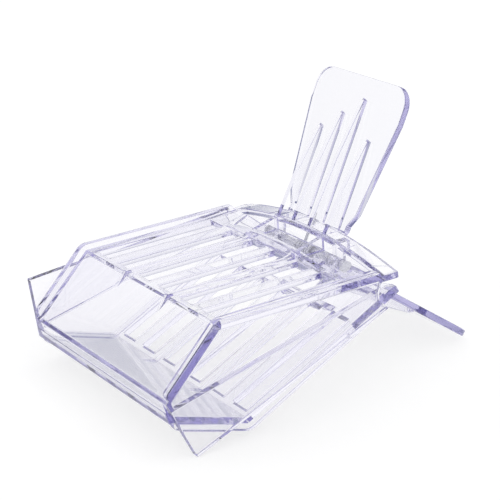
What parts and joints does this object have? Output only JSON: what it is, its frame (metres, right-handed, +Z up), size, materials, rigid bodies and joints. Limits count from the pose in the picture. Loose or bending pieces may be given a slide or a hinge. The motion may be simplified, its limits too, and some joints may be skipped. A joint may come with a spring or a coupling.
{
  "type": "queen bee catcher clip",
  "caption": "Clear hinged clip cage for catching and holding a queen bee: two slotted jaws close by spring and open when the two paddle handles are squeezed.",
  "frame": {"origin": "on the table top, below the middle of the clip's bounding box, as it rests on one side plate tip, one lower jaw corner and one end of the lower handle's tip", "axes": "+Z up from the table; +X from the nose of the jaws towards the handles; +Y across the cage, away from the upper jaw's side plate"},
  "size_m": [0.0744, 0.0538, 0.0522],
  "materials": {
    "clear_plastic": "clear moulded plastic, polished, faint lavender tint in its edges",
    "pin_steel": "drawn stainless steel",
    "spring_steel": "stainless spring wire"
  },
  "bodies": {
    "lower_jaw": {"lower_front": "clear_plastic", "lower_grille": "clear_plastic", "lower_panel_ribs": "clear_plastic", "lower_side_plate": "clear_plastic", "lower_side_wall": "clear_plastic", "lower_bridge": "clear_plastic", "lower_hinge_lugs": "clear_plastic", "lower_handle": "clear_plastic", "lower_handle_fins": "clear_plastic", "hinge_pin": "pin_steel", "hinge_spring": "spring_steel"},
    "upper_jaw": {"upper_front": "clear_plastic", "upper_grille": "clear_plastic", "upper_panel_ribs": "clear_plastic", "upper_side_plate": "clear_plastic", "upper_side_wall": "clear_plastic", "upper_bridge": "clear_plastic", "upper_hinge_lugs": "clear_plastic", "upper_handle": "clear_plastic", "upper_handle_fins": "clear_plastic"}
  },
  "joints": [
    {"name": "jaw_hinge", "type": "hinge", "parent": "lower_jaw", "child": "upper_jaw", "pos_m": [0.00823, 0, 0.02018], "axis": [0.007, 0.9997, -0.025], "range_deg": [0, 30], "stiffness_Nm_per_rad": 0.045, "springref_deg": -40.11, "deforming": ["hinge_spring"]}
  ]
}
